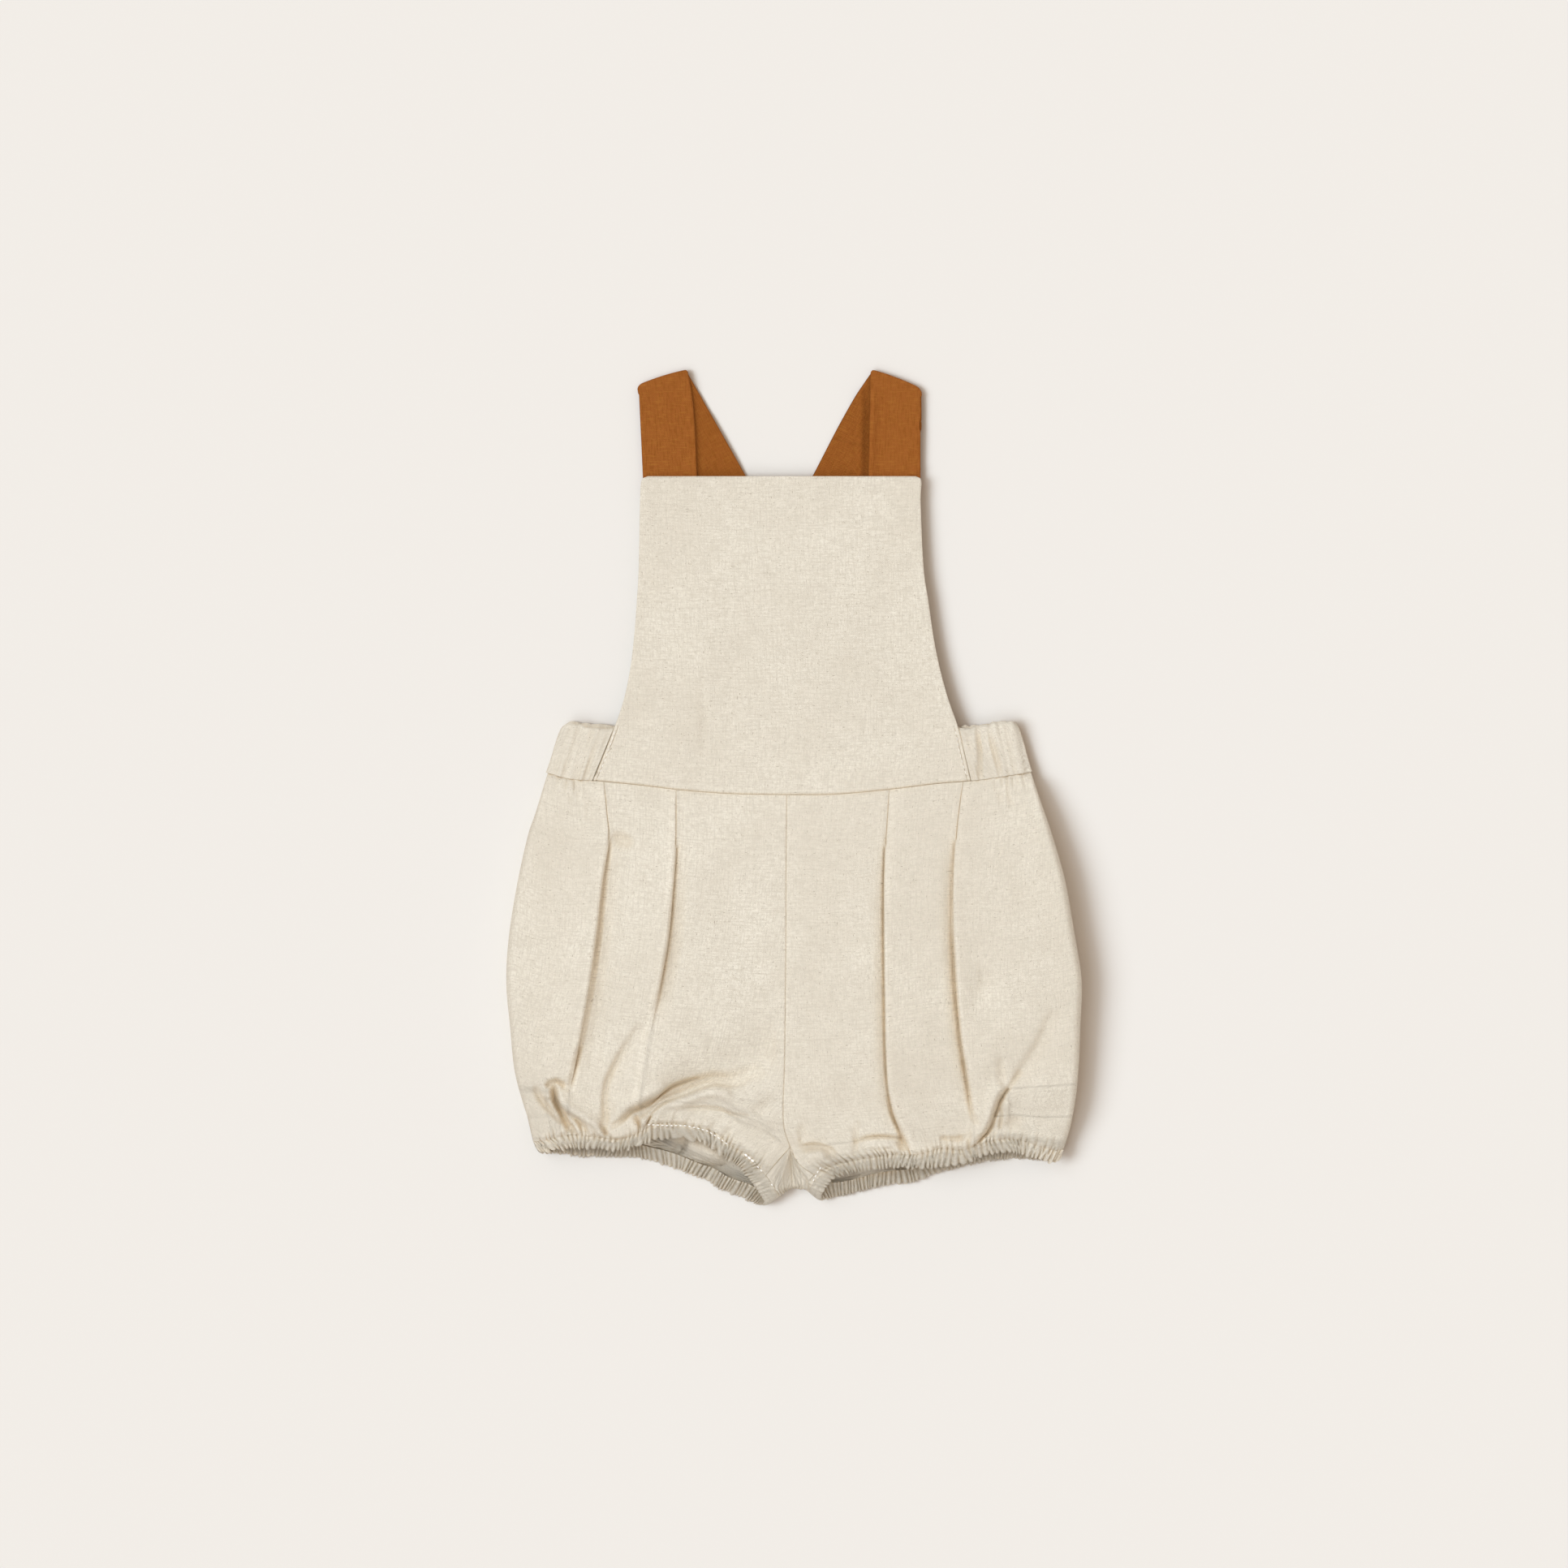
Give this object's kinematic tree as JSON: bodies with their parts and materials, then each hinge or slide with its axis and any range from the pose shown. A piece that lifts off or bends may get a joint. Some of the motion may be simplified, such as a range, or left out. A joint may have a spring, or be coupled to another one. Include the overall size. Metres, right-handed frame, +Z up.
{
  "type": "baby romper",
  "caption": "Baby romper laid flat on its back: linen bib and pleated bloomers with elastic leg casings and back waistband, and cotton straps that cross behind the bib.",
  "frame": {"origin": "centre of the bounding box on the surface that the back lies on", "axes": "+X to the right as the front faces the viewer, +Y from the legs to the shoulder straps, +Z up off the surface, out of the front"},
  "size_m": [0.3094, 0.45, 0.0204],
  "materials": {
    "linen": "matt, flecked natural linen",
    "rust_cotton": "matt cotton twill"
  },
  "bodies": {
    "root": {"front_bib": "linen", "back_waistband": "linen", "front_left": "linen", "front_right": "linen", "back_left": "linen", "back_right": "linen", "leg_cuff_left": "linen", "leg_cuff_right": "linen", "strap_left": "rust_cotton", "strap_right": "rust_cotton"}
  },
  "joints": []
}
